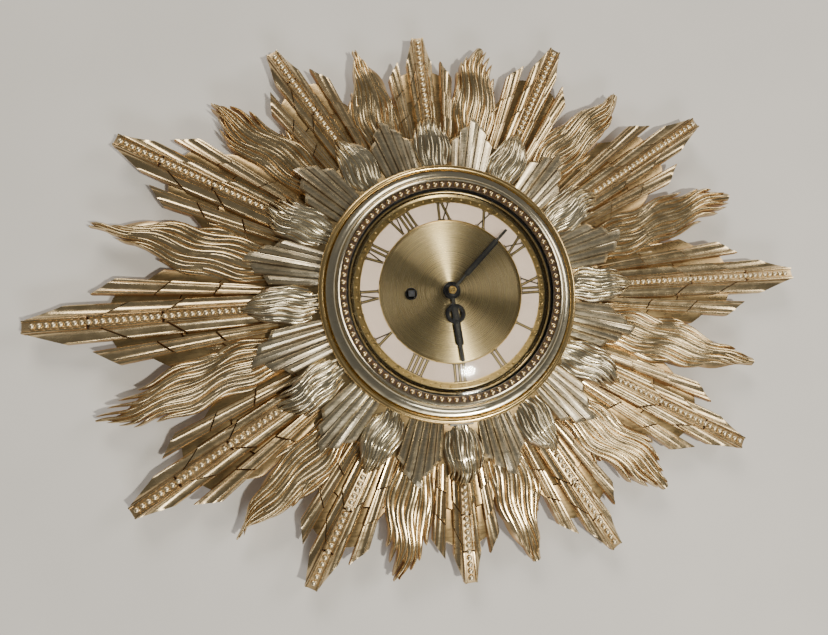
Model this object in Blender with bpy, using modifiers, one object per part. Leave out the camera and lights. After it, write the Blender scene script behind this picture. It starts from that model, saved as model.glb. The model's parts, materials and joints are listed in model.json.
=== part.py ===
# Sunburst wall clock with a key-wound lever movement.
#
# Every piece is drawn face up in millimetres: x to the right, y towards XII, and a height measured
# from the wall towards the room. A half turn upright then puts heights along -Y and XII along +Z.
import math

import bmesh
import bpy

MM = 0.001
UPRIGHT = math.radians(90)

# Sunburst
RAY_TIPS = (279.5, 250.4, 215.4, 197.2)  # ray length at XII, I, II and III
FLAME_TIPS = (248.5, 216.3, 197.1)  # flame length after XII, I and II
RAY_SHAPE = ((7.6, 0.56), (7.4, 0.80), (5.4, 0.86), (3.7, 0.87), (3.1, 0.955))  # degrees, share of length
FLAME_SHAPE = ((6.5, 0.60), (6.1, 0.83), (4.2, 0.91), (2.0, 0.97))
OUTER_BACK = 6.0
OUTER_TIP_FRONT = 13.0
OUTER_BOSS_FRONT = 20.0
BOSS_FOOT_RADIUS = 132.0
BOSS_TOP_RADIUS = 108.0
WELL_RADIUS = 57.0
INNER_BACK = 20.3
INNER_FRONT = 31.0
TUFT_RADIUS = 136.0
BAR_RADIUS = 121.0

# Bezel, glass and dial
BEZEL_RADIUS = 89.0
BEZEL_BACK = 33.0
BEAD_RADIUS = 72.7
BEAD_SIZE = 4.2
BEAD_SEAT = 46.2
GLASS_RADIUS = 72.0
GLASS_EDGE = 43.8
GLASS_RISE = 7.0
GLASS_THICKNESS = 1.5
PAN_RADIUS = 69.5
PAN_FRONT = 41.0
RING_INNER = 48.9
RING_OUTER = 61.6
HINGE_X = 88.8
HINGE_HEIGHT = 32.6
KNUCKLE_RADIUS = 1.3

# Movement
PLATE_RADIUS = 54.0
BACK_PLATE = (10.0, 11.5)
FRONT_PLATE = (31.0, 32.5)
WINDING_DROP = 27.3  # winding arbor below the centre
GREAT_TEETH = 52
CENTRE_PINION = 8
CENTRE_TEETH = 48
THIRD_PINION = 8
THIRD_TEETH = 48
FOURTH_PINION = 8
FOURTH_TEETH = 40
CANNON_TEETH = 10
MINUTE_TEETH = 30
MINUTE_PINION = 9
HOUR_TEETH = 36
THIRD_DISTANCE = 18.0
THIRD_ANGLE = 40.0
FOURTH_DISTANCE = 15.0
FOURTH_ANGLE = 150.0
MOTION_DISTANCE = 12.0
MINUTE_WHEEL_XY = (-MOTION_DISTANCE, 0.0)
ESCAPE_XY = (-10.6, 21.5)
LEVER_XY = (-20.0, 18.5)
BALANCE_XY = (-31.0, 15.0)
BALANCE_RADIUS = 9.5
COCK_TURN = 150.0
ESCAPE_PINION = 7
ESCAPE_MESH = 10.0  # drawn shorter than the arbors' spacing, so the two wheels stand clear
RATCHET_TEETH = 16
RATCHET_PHASE = -4.0
PAWL_LIFT = 15.5  # the click is drawn lifted, its nose just outside the ratchet's teeth
CLICK_OFFSET = 12.0

# Hands, turned clockwise from XII
MINUTE_ANGLE = 317.0
HOUR_ANGLE = 86.5
MINUTE_LENGTH = 57.5
HOUR_LENGTH = 48.2
HOUR_HAND = (43.2, 43.9)
MINUTE_HAND = (44.7, 45.3)
MINUTE_SHAPE = (14.3, 46.5, 2.2, 1.25, 4.4)  # neck, step, two half-widths, hub radius
HOUR_SHAPE = (10.4, 36.8, 2.4, 1.4, 5.9)
EYE_CENTRE = 15.9

RING_STEPS = 42

# Back
COVER_RADIUS = 70.0
COVER_SCREW_RADIUS = 64.0
CASE_SCREW_RADIUS = 96.0
PAN_SCREW_RADIUS = 74.0
HANGER_Y = 98.0

parts = None
cutters = None


def new_collection(name):
    made = bpy.data.collections.new(name)
    bpy.context.scene.collection.children.link(made)
    return made


def material(name, colour, metallic, roughness, alpha=1.0):
    found = bpy.data.materials.get(name)
    if found:
        return found
    made = bpy.data.materials.new(name)
    made.use_nodes = True
    shader = made.node_tree.nodes["Principled BSDF"]
    shader.inputs["Base Color"].default_value = (*colour, 1.0)
    shader.inputs["Metallic"].default_value = metallic
    shader.inputs["Roughness"].default_value = roughness
    shader.inputs["Alpha"].default_value = alpha
    return made


def gold_leaf():
    return material("gold_leaf", (0.52, 0.37, 0.17), 0.85, 0.38)


def pale_leaf():
    return material("pale_leaf", (0.50, 0.43, 0.28), 0.85, 0.36)


def bezel_silver():
    return material("bezel_silver", (0.52, 0.50, 0.41), 0.95, 0.25)


def brass():
    return material("brass", (0.55, 0.38, 0.13), 1.0, 0.32)


def steel():
    return material("steel", (0.42, 0.42, 0.43), 1.0, 0.35)


def enamel():
    return material("enamel", (0.72, 0.62, 0.56), 0.0, 0.45)


def black_paint():
    return material("black_paint", (0.012, 0.012, 0.014), 0.0, 0.35)


def glass():
    return material("glass", (0.95, 0.97, 0.96), 0.0, 0.03, 0.2)


def painted_back():
    return material("painted_back", (0.07, 0.055, 0.04), 0.2, 0.55)


def place(made, xy, height, finish, collection=None):
    """Stand a face-up object upright, at xy and at a height from the wall."""
    made.location = (xy[0] * MM, -height * MM, xy[1] * MM)
    made.rotation_euler = (UPRIGHT, 0.0, 0.0)
    if finish:
        made.data.materials.append(finish)
    (collection or parts).objects.link(made)
    return made


def turned(name, profile, finish, xy=(0.0, 0.0), steps=48, collection=None):
    """Turn a profile of (radius, height) points, which runs down its outer side."""
    base = min(height for radius, height in profile)
    mesh = bpy.data.meshes.new(name)
    closed = all(radius > 0.0 for radius, height in profile)
    count = len(profile)
    edges = [(i, (i + 1) % count) for i in range(count if closed else count - 1)]
    mesh.from_pydata([(r * MM, 0.0, (h - base) * MM) for r, h in profile], edges, [])
    made = bpy.data.objects.new(name, mesh)
    screw = made.modifiers.new("turn", "SCREW")
    screw.steps = steps
    screw.render_steps = steps
    screw.use_merge_vertices = True
    screw.merge_threshold = 0.00001
    screw.use_smooth_shade = True
    return place(made, xy, base, finish, collection)


def ring_profile(inner, outer, low, high):
    return [(inner, high), (outer, high), (outer, low), (inner, low)]


def rod_profile(radius, low, high):
    return [(0.0, high), (radius, high), (radius, low), (0.0, low)]


def prism(name, loops, low, high, finish, xy=(0.0, 0.0), collection=None):
    """Cut flat stock: the first loop is the outline and the others are its holes."""
    curve = bpy.data.curves.new(name, "CURVE")
    curve.dimensions = "2D"
    curve.fill_mode = "BOTH"
    curve.extrude = (high - low) / 2 * MM
    for loop in loops:
        spline = curve.splines.new("POLY")
        spline.points.add(len(loop) - 1)
        for point, (x, y) in zip(spline.points, loop):
            point.co = (x * MM, y * MM, 0.0, 1.0)
        spline.use_cyclic_u = True
    drawn = bpy.data.objects.new(name + "_outline", curve)
    bpy.context.scene.collection.objects.link(drawn)
    evaluated = drawn.evaluated_get(bpy.context.evaluated_depsgraph_get())
    mesh = bpy.data.meshes.new_from_object(evaluated)
    mesh.name = name
    bpy.data.objects.remove(drawn)
    bpy.data.curves.remove(curve)
    weld_and_face_out(mesh)
    made = bpy.data.objects.new(name, mesh)
    return place(made, xy, (low + high) / 2, finish, collection)


def weld_and_face_out(mesh):
    sheet = bmesh.new()
    sheet.from_mesh(mesh)
    bmesh.ops.remove_doubles(sheet, verts=sheet.verts, dist=0.000001)
    bmesh.ops.recalc_face_normals(sheet, faces=sheet.faces)
    sheet.to_mesh(mesh)
    sheet.free()


def circle(radius, steps=24, centre=(0.0, 0.0)):
    turn = 2 * math.pi / steps
    return [
        (centre[0] + radius * math.cos(i * turn), centre[1] + radius * math.sin(i * turn))
        for i in range(steps)
    ]


def polar(radius, degrees):
    """A point at a radius and an angle anticlockwise from 3 o'clock."""
    angle = math.radians(degrees)
    return (radius * math.cos(angle), radius * math.sin(angle))


def clockwise(degrees_from_twelve):
    return 90.0 - degrees_from_twelve


def gear(teeth, centre_distance, mate_teeth, phase):
    """Outline of a gear with one tooth centred on the angle phase."""
    module = 2 * centre_distance / (teeth + mate_teeth)
    pitch_radius = module * teeth / 2
    root = pitch_radius - 1.15 * module
    tip = pitch_radius + 0.8 * module
    pitch = 360.0 / teeth
    loop = []
    for tooth in range(teeth):
        middle = phase + tooth * pitch
        for radius, share in ((root, -0.25), (tip, 0.0), (root, 0.25)):
            loop.append(polar(radius, middle + share * pitch))
    return loop


def gap_phase(direction, teeth):
    """Phase that turns a gap, not a tooth, towards a direction."""
    return direction + 180.0 / teeth


def boolean(body, other, operation):
    change = body.modifiers.new(operation.lower(), "BOOLEAN")
    change.operation = operation
    change.solver = "EXACT"
    change.object = other


def hide_as_tool(tool):
    tool.hide_render = True
    tool.display_type = "WIRE"


def fuse(body, *others):
    for other in others:
        boolean(body, other, "UNION")
        hide_as_tool(other)
    return body


def cut(body, *tools):
    for tool in tools:
        boolean(body, tool, "DIFFERENCE")
        hide_as_tool(tool)
    return body


def bore(name, radius, low, high, xy):
    return turned(name, rod_profile(radius, low, high), None, xy, 8, cutters)


def block(name, size, centre, collection, finish=None):
    """A box given by its world size and centre in millimetres, with heights along -Y."""
    bpy.ops.mesh.primitive_cube_add(size=1.0)
    made = bpy.context.object
    made.name = name
    made.data.name = name
    width, height, depth = (value * MM for value in size)
    made.data.transform(((width, 0, 0, 0), (0, depth, 0, 0), (0, 0, height, 0), (0, 0, 0, 1)))
    made.location = (centre[0] * MM, -centre[2] * MM, centre[1] * MM)
    for owner in list(made.users_collection):
        owner.objects.unlink(made)
    collection.objects.link(made)
    if finish:
        made.data.materials.append(finish)
    return made


def ray_length(index):
    quarter = (0, 1, 2, 3, 2, 1)[index % 6]
    return RAY_TIPS[quarter]


def flame_length(index):
    quarter = (0, 1, 2, 2, 1, 0)[index % 6]
    return FLAME_TIPS[quarter]


def lobe(heading, length, shape):
    """One pointed lobe of the star, from its clockwise root corner to the other."""
    near = [(heading - offset, share * length) for offset, share in shape]
    far = [(heading + offset, share * length) for offset, share in reversed(shape)]
    return [polar(radius, clockwise(angle)) for angle, radius in near + [(heading, length)] + far]


def outer_sunburst():
    loop = []
    for index in range(12):
        loop += lobe(30.0 * index, ray_length(index), RAY_SHAPE)
        loop += lobe(30.0 * index + 15.0, flame_length(index), FLAME_SHAPE)
    star = prism(
        "outer_sunburst", [loop, circle(WELL_RADIUS, 36)], OUTER_BACK, OUTER_TIP_FRONT, gold_leaf()
    )
    boss = turned(
        "outer_boss",
        [
            (WELL_RADIUS, OUTER_BOSS_FRONT),
            (BOSS_TOP_RADIUS, OUTER_BOSS_FRONT),
            (BOSS_FOOT_RADIUS, OUTER_TIP_FRONT - 1.0),
            (WELL_RADIUS, OUTER_TIP_FRONT - 1.0),
        ],
        None,
        steps=36,
        collection=cutters,
    )
    fuse(star, boss)
    cut(star, *screw_bores("outer", CASE_SCREW_RADIUS, 2.2, 5.0, 21.0))
    cut(star, *screw_bores("cover_seat", COVER_SCREW_RADIUS, 1.8, 5.0, 15.0))
    pocket = block("hanger_pocket", (16, 22, 6), (0, HANGER_Y, 8), cutters)
    bores = [bore(f"hanger_bore_{side}", 1.8, 5.0, 14.0, (side * 14.0, HANGER_Y)) for side in (-1, 1)]
    cut(star, pocket, *bores)


def screw_bores(name, radius, hole, low, high, turn=45.0):
    return [
        bore(f"{name}_bore_{i + 1}", hole, low, high, polar(radius, turn + 90.0 * i)) for i in range(4)
    ]


def inner_sunburst():
    loop = []
    for index in range(12):
        heading = 30.0 * index
        for offset, radius in ((-6.5, 112), (-5.5, 124), (-2.0, 131), (0, TUFT_RADIUS), (2.5, 130),
                               (5.5, 122), (6.5, 112)):
            loop.append(polar(radius, clockwise(heading + offset)))
        for offset, radius in ((-7.0, 113), (-3.0, 117), (-2.8, BAR_RADIUS), (2.8, BAR_RADIUS),
                               (3.0, 117), (7.0, 113)):
            loop.append(polar(radius, clockwise(heading + 15.0 + offset)))
    ring = prism(
        "inner_sunburst", [loop, circle(WELL_RADIUS, 36)], INNER_BACK, INNER_FRONT, pale_leaf()
    )
    cut(ring, *screw_bores("inner", CASE_SCREW_RADIUS, 2.2, 19.0, 28.5))
    cut(ring, *screw_bores("pan_seat", PAN_SCREW_RADIUS, 1.3, 25.0, 32.0))


def screw(name, head, shank, head_span, end, xy, finish):
    """A screw whose head faces the wall or the room, with a shank to the height end."""
    low, high = head_span
    if end > high:
        profile = [(0.0, end), (shank, end), (shank, high), (head, high), (head, low), (0.0, low)]
    else:
        profile = [(0.0, high), (head, high), (head, low), (shank, low), (shank, end), (0.0, end)]
    return turned(name, profile, finish, xy, 10)


def case_screws():
    for i in range(4):
        xy = polar(CASE_SCREW_RADIUS, 45.0 + 90.0 * i)
        screw(f"case_screw_{i + 1}", 4.0, 1.9, (3.9, 5.7), 28.0, xy, steel())


def bezel_ring():
    profile = [
        (70.5, 46.0),
        (74.9, 46.0),
        (75.3, 47.0),
        (76.5, 47.1),
        (77.6, 44.8),
        (80.0, 41.9),
        (84.3, 40.1),
        (86.5, 41.1),
        (88.4, 39.9),
        (BEZEL_RADIUS, 37.6),
        (BEZEL_RADIUS, BEZEL_BACK),
        (75.5, BEZEL_BACK),
        (75.5, 43.0),
        (72.5, 43.4),
        (72.5, 45.4),
        (70.5, 45.4),
    ]
    ring = turned("bezel_ring", profile, bezel_silver(), steps=RING_STEPS)
    cut(ring, block("hinge_recess", (6.0, 17.4, 2.6), (89.2, 0, 33.2), cutters))


def bead_ring():
    half = BEAD_SIZE / 2
    dome = [
        (BEAD_RADIUS + half * math.cos(math.radians(a)), BEAD_SEAT + 0.2 + half * math.sin(math.radians(a)))
        for a in (150, 110, 70, 30, 0)
    ]
    feet = [(BEAD_RADIUS + half, BEAD_SEAT + 0.1), (BEAD_RADIUS - half * 0.87, BEAD_SEAT + 0.1)]
    turned("bead_ring", dome + feet, bezel_silver(), steps=RING_STEPS)


def dome_heights(base, outer, count):
    """Points down a shallow dome, from its middle to its edge."""
    return [
        (outer * i / count, base + GLASS_RISE * (1.0 - (i / count) ** 2)) for i in range(count + 1)
    ]


def door_glass():
    front = dome_heights(GLASS_EDGE + GLASS_THICKNESS, 70.0, 4)
    back = [(radius, height - GLASS_THICKNESS) for radius, height in reversed(front)]
    rim = [(GLASS_RADIUS, front[-1][1] - 0.1), (GLASS_RADIUS, GLASS_EDGE)]
    turned("door_glass", front + rim + back, glass(), steps=RING_STEPS)


def glass_retainer():
    turned("glass_retainer", ring_profile(70.3, 75.1, 41.6, 42.7), steel(), steps=RING_STEPS)


def hinge():
    half = 4.0
    leaf = block("hinge_leaf", (12.0, 2 * half, 0.6), (83.0, 0.0, 31.6), parts, steel())
    fuse(leaf, knuckle("fixed_knuckle", -half, half))
    cut(leaf, pin_bore())
    door_leaf = block("door_leaf", (9.6, 16.0, 0.5), (83.8, 0.0, 32.45), parts, steel())
    fuse(door_leaf, knuckle("upper_knuckle", half + 0.3, 8.0), knuckle("lower_knuckle", -8.0, -half - 0.3))
    gap = block("leaf_gap", (4.0, 2 * half + 0.6, 4.0), (88.7, 0.0, HINGE_HEIGHT), cutters)
    cut(door_leaf, pin_bore(), gap)
    bpy.ops.mesh.primitive_cylinder_add(vertices=12, radius=0.5 * MM, depth=16.4 * MM)
    pin = bpy.context.object
    pin.name = "hinge_pin"
    pin.location = (HINGE_X * MM, -HINGE_HEIGHT * MM, 0.0)
    keep_in(pin, parts)
    pin.data.materials.append(steel())


def keep_in(made, collection):
    for owner in list(made.users_collection):
        owner.objects.unlink(made)
    collection.objects.link(made)


def knuckle(name, low, high, radius=KNUCKLE_RADIUS):
    """An upright cylinder on the hinge's axis."""
    bpy.ops.mesh.primitive_cylinder_add(vertices=12, radius=radius * MM, depth=(high - low) * MM)
    made = bpy.context.object
    made.name = name
    made.location = (HINGE_X * MM, -HINGE_HEIGHT * MM, (low + high) / 2 * MM)
    keep_in(made, cutters)
    return made


def pin_bore():
    return knuckle("pin_bore", -9.0, 9.0, 0.8)


def dial_pan():
    profile = [
        (68.0, PAN_FRONT + 1.2),
        (68.4, PAN_FRONT + 1.6),
        (69.1, PAN_FRONT + 1.6),
        (PAN_RADIUS, PAN_FRONT + 1.2),
        (PAN_RADIUS, 32.2),
        (76.0, 32.2),
        (76.0, 31.3),
        (68.6, 31.3),
        (68.6, PAN_FRONT - 1.0),
        (3.3, PAN_FRONT - 1.0),
        (3.3, PAN_FRONT),
        (68.0, PAN_FRONT),
    ]
    pan = turned("dial_pan", profile, brass(), steps=RING_STEPS)
    cut(pan, bore("winding_hole", 3.9, 39.0, 43.0, (0.0, -WINDING_DROP)))
    cut(pan, *screw_bores("pan", PAN_SCREW_RADIUS, 1.3, 30.0, 34.0))
    cut(pan, block("lip_notch", (6.0, 8.0, 2.0), (70.0, 0.0, PAN_FRONT + 1.6), cutters))
    for i in range(4):
        xy = polar(PAN_SCREW_RADIUS, 45.0 + 90.0 * i)
        screw(f"pan_screw_{i + 1}", 1.8, 1.0, (32.45, 32.85), 26.0, xy, brass())


def chapter_ring():
    profile = ring_profile(RING_INNER, RING_OUTER, PAN_FRONT + 0.3, PAN_FRONT + 0.9)
    turned("chapter_ring", profile, enamel(), steps=RING_STEPS)


def winding_grommet():
    profile = [(3.0, 42.2), (3.8, 42.1), (4.3, 41.6), (4.3, 41.3), (3.6, 41.3), (3.6, 39.6), (3.0, 39.6)]
    turned("winding_grommet", profile, black_paint(), (0.0, -WINDING_DROP), 16)


def plates():
    third, fourth = third_xy(), fourth_xy()
    pivots = [(0.0, 0.0, 1.5), (0.0, -WINDING_DROP, 3.2)]
    pivots += [(*third, 1.0), (*fourth, 1.0), (*ESCAPE_XY, 1.0), (*LEVER_XY, 1.0)]
    posts = [circle(1.6, 8, polar(46.0, 45.0 + 90.0 * i)) for i in range(4)]
    holes = [circle(radius, 8, (x, y)) for x, y, radius in pivots]
    prism("front_plate", [circle(PLATE_RADIUS, 36)] + holes + posts, *FRONT_PLATE, brass())
    back_holes = holes + [circle(1.0, 8, BALANCE_XY)]
    prism("back_plate", [circle(PLATE_RADIUS, 36)] + back_holes + posts, *BACK_PLATE, brass())
    for i in range(4):
        low, high = BACK_PLATE[1] + 0.3, FRONT_PLATE[0] - 0.3
        profile = [
            (0.0, high + 2.1), (1.3, high + 2.1), (1.3, high), (3.0, high),
            (3.0, low), (1.3, low), (1.3, low - 2.1), (0.0, low - 2.1),
        ]
        turned(f"pillar_{i + 1}", profile, brass(), polar(46.0, 45.0 + 90.0 * i), 10)
    for i, heading in enumerate((90.0, 210.0, 330.0)):
        profile = rod_profile(2.2, FRONT_PLATE[1] + 0.3, PAN_FRONT - 1.3)
        turned(f"dial_foot_{i + 1}", profile, brass(), polar(45.0, heading), 10)


def third_xy():
    return polar(THIRD_DISTANCE, THIRD_ANGLE)


def fourth_xy():
    x, y = polar(FOURTH_DISTANCE, FOURTH_ANGLE)
    return (third_xy()[0] + x, third_xy()[1] + y)


def arbor(name, radius, low, high, xy, finish):
    return turned(name, rod_profile(radius, low, high), finish, xy, 8)


def on_arbor(body, outlines, xy):
    """Join flat wheels and pinions, given as (name, outline, low, high), to their arbor."""
    fuse(body, *[prism(name, [loop], low, high, None, xy, cutters) for name, loop, low, high in outlines])


def going_train():
    centre = arbor("centre_wheel", 1.1, 10.2, 46.9, (0.0, 0.0), brass())
    pinion = gear(CENTRE_PINION, WINDING_DROP, GREAT_TEETH, gap_phase(270.0, CENTRE_PINION))
    wheel = gear(CENTRE_TEETH, THIRD_DISTANCE, THIRD_PINION, THIRD_ANGLE)
    stack = [("centre_pinion", pinion, 12.2, 15.8), ("centre_rim", wheel, 26.0, 27.5)]
    on_arbor(centre, stack, (0.0, 0.0))
    third = arbor("third_wheel", 0.6, 10.2, 32.2, third_xy(), brass())
    pinion = gear(THIRD_PINION, THIRD_DISTANCE, CENTRE_TEETH, gap_phase(THIRD_ANGLE + 180.0, THIRD_PINION))
    wheel = gear(THIRD_TEETH, FOURTH_DISTANCE, FOURTH_PINION, FOURTH_ANGLE)
    on_arbor(third, [("third_pinion", pinion, 24.5, 29.0), ("third_rim", wheel, 20.0, 21.2)], third_xy())
    fourth = arbor("fourth_wheel", 0.6, 10.2, 32.2, fourth_xy(), brass())
    phase = gap_phase(FOURTH_ANGLE + 180.0, FOURTH_PINION)
    pinion = gear(FOURTH_PINION, FOURTH_DISTANCE, THIRD_TEETH, phase)
    wheel = gear(FOURTH_TEETH, ESCAPE_MESH, ESCAPE_PINION, 0.0)
    stack = [("fourth_pinion", pinion, 18.5, 22.7), ("fourth_rim", wheel, 15.0, 16.0)]
    on_arbor(fourth, stack, fourth_xy())


def mainspring_unit():
    xy = (0.0, -WINDING_DROP)
    wheel = gear(GREAT_TEETH, WINDING_DROP, CENTRE_PINION, 90.0)
    prism("great_wheel", [wheel, circle(3.0, 16)], 13.0, 15.0, brass(), xy)
    drum = turned("winding_arbor", rod_profile(2.6, 10.2, 33.5), steel(), xy, 16)
    square = [(-2.1, -2.1), (2.1, -2.1), (2.1, 2.1), (-2.1, 2.1)]
    on_arbor(drum, [("winding_square", square, 33.0, 42.6)], xy)
    teeth = []
    for i in range(RATCHET_TEETH):
        angle = 360.0 * i / RATCHET_TEETH + RATCHET_PHASE
        teeth += [polar(8.0, angle), polar(6.6, angle + 2.0)]
    prism("ratchet_wheel", [teeth, circle(2.9, 16)], 15.4, 16.3, steel(), xy)
    pawl = [(-4.6, 0.9), (-4.3, -0.3), (0.0, -1.7), (1.7, 0.0), (0.0, 1.7)]
    lifted = turn_loop(pawl, -PAWL_LIFT)
    prism("click", [lifted], 15.4, 16.3, steel(), (CLICK_OFFSET, -WINDING_DROP))
    spiral("mainspring", 6.0, 20.0, 5, 14, 0.7, 16.9, 25.4, xy, steel())


def spiral(name, inner, outer, turns, steps, thickness, low, high, xy, finish):
    count = turns * steps
    centre_line = [
        (inner + (outer - inner) * i / count, 360.0 * turns * i / count) for i in range(count + 1)
    ]
    outside = [polar(radius + thickness / 2, angle) for radius, angle in centre_line]
    inside = [polar(radius - thickness / 2, angle) for radius, angle in reversed(centre_line)]
    prism(name, [outside + inside], low, high, finish, xy)


def motion_work():
    cannon = turned("cannon_pinion", ring_profile(1.4, 1.8, 33.0, 45.0), brass(), (0.0, 0.0), 16)
    leaves = gear(CANNON_TEETH, MOTION_DISTANCE, MINUTE_TEETH, 180.0)
    rim = prism("cannon_leaves", [leaves, circle(1.4, 16)], 33.0, 35.6, None, (0.0, 0.0), cutters)
    fuse(cannon, rim)
    wheel = gear(MINUTE_TEETH, MOTION_DISTANCE, CANNON_TEETH, gap_phase(0.0, MINUTE_TEETH))
    minute = arbor("minute_wheel", 0.7, 32.9, 39.6, MINUTE_WHEEL_XY, brass())
    pinion = gear(MINUTE_PINION, MOTION_DISTANCE, HOUR_TEETH, 0.0)
    stack = [("minute_rim", wheel, 34.0, 35.2), ("minute_pinion", pinion, 35.0, 38.8)]
    on_arbor(minute, stack, MINUTE_WHEEL_XY)
    hour = turned("hour_wheel", ring_profile(2.15, 2.7, 37.0, 43.9), brass(), (0.0, 0.0), 16)
    teeth = gear(HOUR_TEETH, MOTION_DISTANCE, MINUTE_PINION, gap_phase(180.0, HOUR_TEETH))
    fuse(hour, prism("hour_rim", [teeth, circle(2.15, 16)], 37.0, 38.2, None, (0.0, 0.0), cutters))


def escapement():
    teeth = []
    for i in range(15):
        teeth += [polar(6.4, i * 24.0), polar(6.1, i * 24.0 + 2.5), polar(4.6, i * 24.0 + 3.0)]
    escape = arbor("escape_wheel", 0.5, 10.2, 32.2, ESCAPE_XY, steel())
    pinion = gear(ESCAPE_PINION, ESCAPE_MESH, FOURTH_TEETH, 0.0)
    stack = [("escape_rim", teeth, 19.0, 19.8), ("escape_pinion", pinion, 13.4, 17.4)]
    on_arbor(escape, stack, ESCAPE_XY)
    lever = arbor("pallet_lever", 0.5, 10.2, 32.2, LEVER_XY, steel())
    heading = math.degrees(math.atan2(BALANCE_XY[1] - LEVER_XY[1], BALANCE_XY[0] - LEVER_XY[0]))
    half = [(-1.8, 4.4), (-0.6, 5.0), (0.9, 1.0), (7.6, 0.45), (8.4, 1.1), (9.4, 1.1), (9.0, 0.4)]
    outline = [(x, -y) for x, y in half] + list(reversed(half))
    on_arbor(lever, [("lever_arms", turn_loop(outline, heading), 19.0, 19.8)], LEVER_XY)
    rim = [circle(BALANCE_RADIUS, 32), circle(BALANCE_RADIUS - 1.4, 32)]
    balance = arbor("balance_wheel", 0.4, 10.2, 27.0, BALANCE_XY, brass())
    reach = BALANCE_RADIUS - 0.7
    spoke = [(-reach, -0.6), (reach, -0.6), (reach, 0.6), (-reach, 0.6)]
    fuse(
        balance,
        prism("balance_spoke", [spoke], 22.0, 23.4, None, BALANCE_XY, cutters),
        prism("balance_rim", rim, 22.0, 23.4, None, BALANCE_XY, cutters),
    )
    spiral("balance_spring", 1.4, 5.0, 3, 10, 0.25, 24.2, 24.8, BALANCE_XY, steel())
    cock = [(-3.0, -3.0), (3.0, -3.0), (3.0, 17.0), (-3.0, 17.0)]
    turned_cock = turn_loop(cock, COCK_TURN)
    arm = prism(
        "balance_cock", [turned_cock, circle(0.8, 12)], 26.0, 27.4, brass(), BALANCE_XY
    )
    foot_xy = turn_loop([(0.0, 14.0)], COCK_TURN)[0]
    foot = turned(
        "cock_foot",
        rod_profile(2.6, 11.8, 26.5),
        None,
        (BALANCE_XY[0] + foot_xy[0], BALANCE_XY[1] + foot_xy[1]),
        16,
        cutters,
    )
    fuse(arm, foot)


def turn_loop(loop, degrees):
    angle = math.radians(degrees)
    c, s = math.cos(angle), math.sin(angle)
    return [(x * c - y * s, x * s + y * c) for x, y in loop]


def hand_outline(length, neck, step, wide, narrow, hub):
    """A stepped hand along +x with a round hub; wide and narrow are half-widths."""
    side = [(neck, wide * 0.5), (neck + 1.0, wide), (step, wide), (step + 0.6, narrow), (length, narrow)]
    start = math.degrees(math.asin(wide * 0.5 / hub))
    arc = [polar(hub, start + (360.0 - 2 * start) * i / 20) for i in range(21)]
    return [(x, -y) for x, y in side] + list(reversed(side)) + arc


def hands():
    minute = turn_loop(hand_outline(MINUTE_LENGTH, *MINUTE_SHAPE), clockwise(MINUTE_ANGLE))
    prism("minute_hand", [minute, circle(2.1, 24)], *MINUTE_HAND, black_paint())
    hour = turn_loop(hand_outline(HOUR_LENGTH, *HOUR_SHAPE), clockwise(HOUR_ANGLE))
    body = prism("hour_hand", [hour, circle(3.0, 24)], *HOUR_HAND, black_paint())
    low, high = HOUR_HAND
    eye_xy = polar(EYE_CENTRE, clockwise(HOUR_ANGLE))
    eye = turned("hour_eye", ring_profile(4.1, 6.8, low + 0.1, high - 0.1), None, eye_xy, 16, cutters)
    fuse(body, eye)
    nut = [(1.4, 46.9), (2.2, 46.7), (2.7, 46.0), (2.7, 45.6), (1.4, 45.6)]
    turned("hand_nut", nut, brass(), steps=16)


def back_fittings():
    profile = [
        (0.0, 1.2), (54.6, 1.2), (55.0, 5.6), (COVER_RADIUS, 5.6), (COVER_RADIUS, 4.4), (56.4, 4.4),
        (55.8, 0.0), (0.0, 0.0),
    ]
    cover = turned("rear_cover", profile, painted_back(), steps=RING_STEPS)
    cut(cover, *screw_bores("cover", COVER_SCREW_RADIUS, 1.8, 3.0, 7.0))
    for i in range(4):
        xy = polar(COVER_SCREW_RADIUS, 45.0 + 90.0 * i)
        screw(f"cover_screw_{i + 1}", 3.2, 1.5, (2.6, 4.1), 14.0, xy, steel())
    keyhole = [polar(4.6, angle) for angle in range(120, 421, 30)]
    keyhole = [(x, y + HANGER_Y - 3.0) for x, y in keyhole]
    slot = [(2.3, HANGER_Y + 7.0), (-2.3, HANGER_Y + 7.0)]
    low, high = HANGER_Y - 13.0, HANGER_Y + 13.0
    plate = [(-19.0, low), (19.0, low), (19.0, high), (-19.0, high)]
    screws = [circle(1.8, 12, (side * 14.0, HANGER_Y)) for side in (-1, 1)]
    prism("hanger_plate", [plate, keyhole + slot] + screws, 4.4, 5.7, steel())
    for i, side in enumerate((-1, 1)):
        screw(f"hanger_screw_{i + 1}", 3.2, 1.5, (2.6, 4.1), 13.0, (side * 14.0, HANGER_Y), steel())


def build():
    global parts, cutters
    for old in list(bpy.data.objects):
        bpy.data.objects.remove(old)
    parts = new_collection("sunburst_wall_clock")
    cutters = new_collection("cutters")
    outer_sunburst()
    inner_sunburst()
    case_screws()
    bezel_ring()
    bead_ring()
    door_glass()
    glass_retainer()
    hinge()
    dial_pan()
    chapter_ring()
    winding_grommet()
    plates()
    going_train()
    mainspring_unit()
    motion_work()
    escapement()
    hands()
    back_fittings()


build()
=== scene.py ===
# Sunburst wall clock: fine surfaces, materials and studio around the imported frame.
import bpy
import bmesh
import json
import math
import random
from mathutils import Matrix, Vector


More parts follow.
